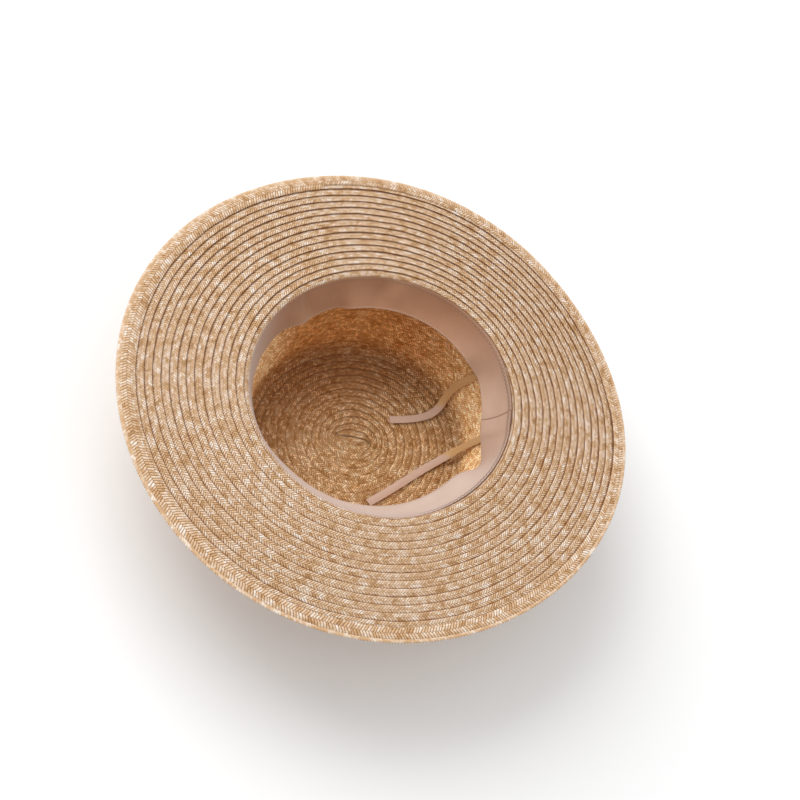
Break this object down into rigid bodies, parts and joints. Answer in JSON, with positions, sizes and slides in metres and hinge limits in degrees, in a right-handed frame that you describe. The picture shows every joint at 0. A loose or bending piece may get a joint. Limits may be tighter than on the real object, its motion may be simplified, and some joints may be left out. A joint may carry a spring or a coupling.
{
  "type": "straw boater hat",
  "caption": "Wide-brimmed straw boater with a flat-topped crown, sewn in a spiral of lapped plait, with a ribbon sweatband and narrow ribbon tails inside.",
  "frame": {"origin": "centre of the hat's footprint, on the plane of the flat tip that it rests on", "axes": "+Z from the tip up through the opening, +Y to the back of the head, where the sweatband is joined, +X side to side"},
  "size_m": [0.3568, 0.36, 0.0892],
  "materials": {
    "straw_plait": "natural wheat straw plait, satin",
    "sweatband_ribbon": "beige-pink ribbed ribbon, matt",
    "tail_ribbon": "narrow beige ribbon, satin"
  },
  "bodies": {
    "root": {"crown": "straw_plait", "brim": "straw_plait", "edge_braid": "straw_plait", "sweatband": "sweatband_ribbon", "ribbon_tail_a": "tail_ribbon", "ribbon_tail_b": "tail_ribbon"}
  },
  "joints": []
}
